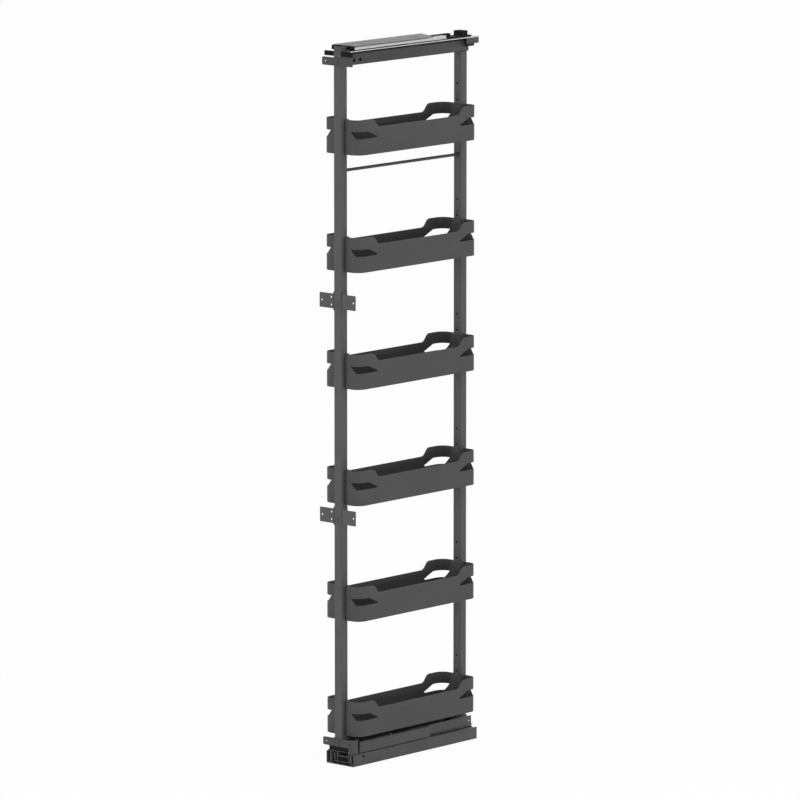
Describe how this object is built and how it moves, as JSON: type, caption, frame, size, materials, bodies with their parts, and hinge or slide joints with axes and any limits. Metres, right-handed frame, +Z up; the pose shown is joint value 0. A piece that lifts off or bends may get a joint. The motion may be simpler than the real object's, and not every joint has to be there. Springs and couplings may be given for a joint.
{
  "type": "pull out pantry frame",
  "caption": "Tall narrow pull-out pantry frame: a slide at its foot, a guide at its head, two uprights and stacked open baskets with wrapped corner slots.",
  "frame": {"origin": "middle of the base channel's underside, where it stands on the cabinet floor", "axes": "+X to the right seen from the door, +Y to the rear of the cabinet, +Z up; the frame pulls out towards -Y"},
  "size_m": [0.124, 0.5242, 1.857],
  "materials": {
    "frame_steel": "matte anthracite powder coat",
    "guide_steel": "satin zinc plated sheet",
    "basket_plastic": "matte anthracite",
    "black_plastic": "matte black",
    "grey_plastic": "matte anthracite",
    "buffer_rubber": "matte black",
    "ball_steel": "polished",
    "screw_steel": "dark zinc plated"
  },
  "bodies": {
    "cabinet_side": {"base_channel": "frame_steel", "base_rivets": "screw_steel", "lower_race_left": "guide_steel", "lower_race_right": "guide_steel", "rear_stop": "frame_steel", "rear_buffer": "buffer_rubber", "top_mounting_plate": "guide_steel", "top_outer_profile": "guide_steel", "top_rear_block": "black_plastic", "top_cover_spacer": "black_plastic"},
    "lower_middle": {"lower_middle_profile": "frame_steel"},
    "lower_outer_cages": {"lower_outer_ball_cages": "black_plastic", "lower_outer_balls": "ball_steel"},
    "lower_inner_cages": {"lower_inner_ball_cages": "black_plastic", "lower_inner_balls": "ball_steel"},
    "upper_middle": {"top_middle_profile": "guide_steel"},
    "upper_outer_cages": {"upper_outer_ball_cages": "black_plastic", "upper_outer_balls": "ball_steel"},
    "upper_inner_cages": {"upper_inner_ball_cages": "black_plastic", "upper_inner_balls": "ball_steel"},
    "pull_out_frame": {"lower_inner_profile": "frame_steel", "carrier": "frame_steel", "side_skirt_left": "frame_steel", "side_skirt_right": "frame_steel", "front_foot": "frame_steel", "rear_foot": "frame_steel", "front_upright": "frame_steel", "rear_upright": "frame_steel", "top_beam": "frame_steel", "lower_front_bar": "frame_steel", "upper_front_bar": "frame_steel", "door_bracket_lower_left": "frame_steel", "door_bracket_lower_right": "frame_steel", "door_bracket_upper_left": "frame_steel", "door_bracket_upper_right": "frame_steel", "top_end_bracket": "frame_steel", "top_inner_profile": "guide_steel", "basket_1": "basket_plastic", "basket_2": "basket_plastic", "basket_3": "basket_plastic", "basket_4": "basket_plastic", "basket_5": "basket_plastic", "basket_6": "basket_plastic", "lower_front_plug": "black_plastic", "carrier_caps": "black_plastic", "guide_block_left": "black_plastic", "guide_block_right": "black_plastic", "top_spacer_strip": "black_plastic", "front_connector": "grey_plastic", "top_end_buffer": "buffer_rubber", "basket_screws": "screw_steel", "bracket_screws": "screw_steel", "bar_screws": "screw_steel", "skirt_screws": "screw_steel", "foot_screws": "screw_steel", "strip_screws": "screw_steel", "adjusting_bolts": "screw_steel", "rod_nuts": "screw_steel", "cross_rod": "screw_steel"}
  },
  "joints": [
    {"name": "frame_slide", "type": "slide", "parent": "cabinet_side", "child": "pull_out_frame", "axis": [0, -1, 0], "range_m": [0, 0.45]},
    {"name": "lower_middle_slide", "type": "slide", "parent": "cabinet_side", "child": "lower_middle", "axis": [0, -1, 0], "range_m": [0, 0.225]},
    {"name": "lower_outer_cage_slide", "type": "slide", "parent": "cabinet_side", "child": "lower_outer_cages", "axis": [0, -1, 0], "range_m": [0, 0.1125]},
    {"name": "lower_inner_cage_slide", "type": "slide", "parent": "cabinet_side", "child": "lower_inner_cages", "axis": [0, -1, 0], "range_m": [0, 0.3375]},
    {"name": "upper_middle_slide", "type": "slide", "parent": "cabinet_side", "child": "upper_middle", "axis": [0, -1, 0], "range_m": [0, 0.225]},
    {"name": "upper_outer_cage_slide", "type": "slide", "parent": "cabinet_side", "child": "upper_outer_cages", "axis": [0, -1, 0], "range_m": [0, 0.1125]},
    {"name": "upper_inner_cage_slide", "type": "slide", "parent": "cabinet_side", "child": "upper_inner_cages", "axis": [0, -1, 0], "range_m": [0, 0.3375]}
  ],
  "couplings": [
    {"joint": "lower_middle_slide", "follows": "frame_slide", "ratio": 0.5},
    {"joint": "lower_outer_cage_slide", "follows": "frame_slide", "ratio": 0.25},
    {"joint": "lower_inner_cage_slide", "follows": "frame_slide", "ratio": 0.75},
    {"joint": "upper_middle_slide", "follows": "frame_slide", "ratio": 0.5},
    {"joint": "upper_outer_cage_slide", "follows": "frame_slide", "ratio": 0.25},
    {"joint": "upper_inner_cage_slide", "follows": "frame_slide", "ratio": 0.75}
  ]
}
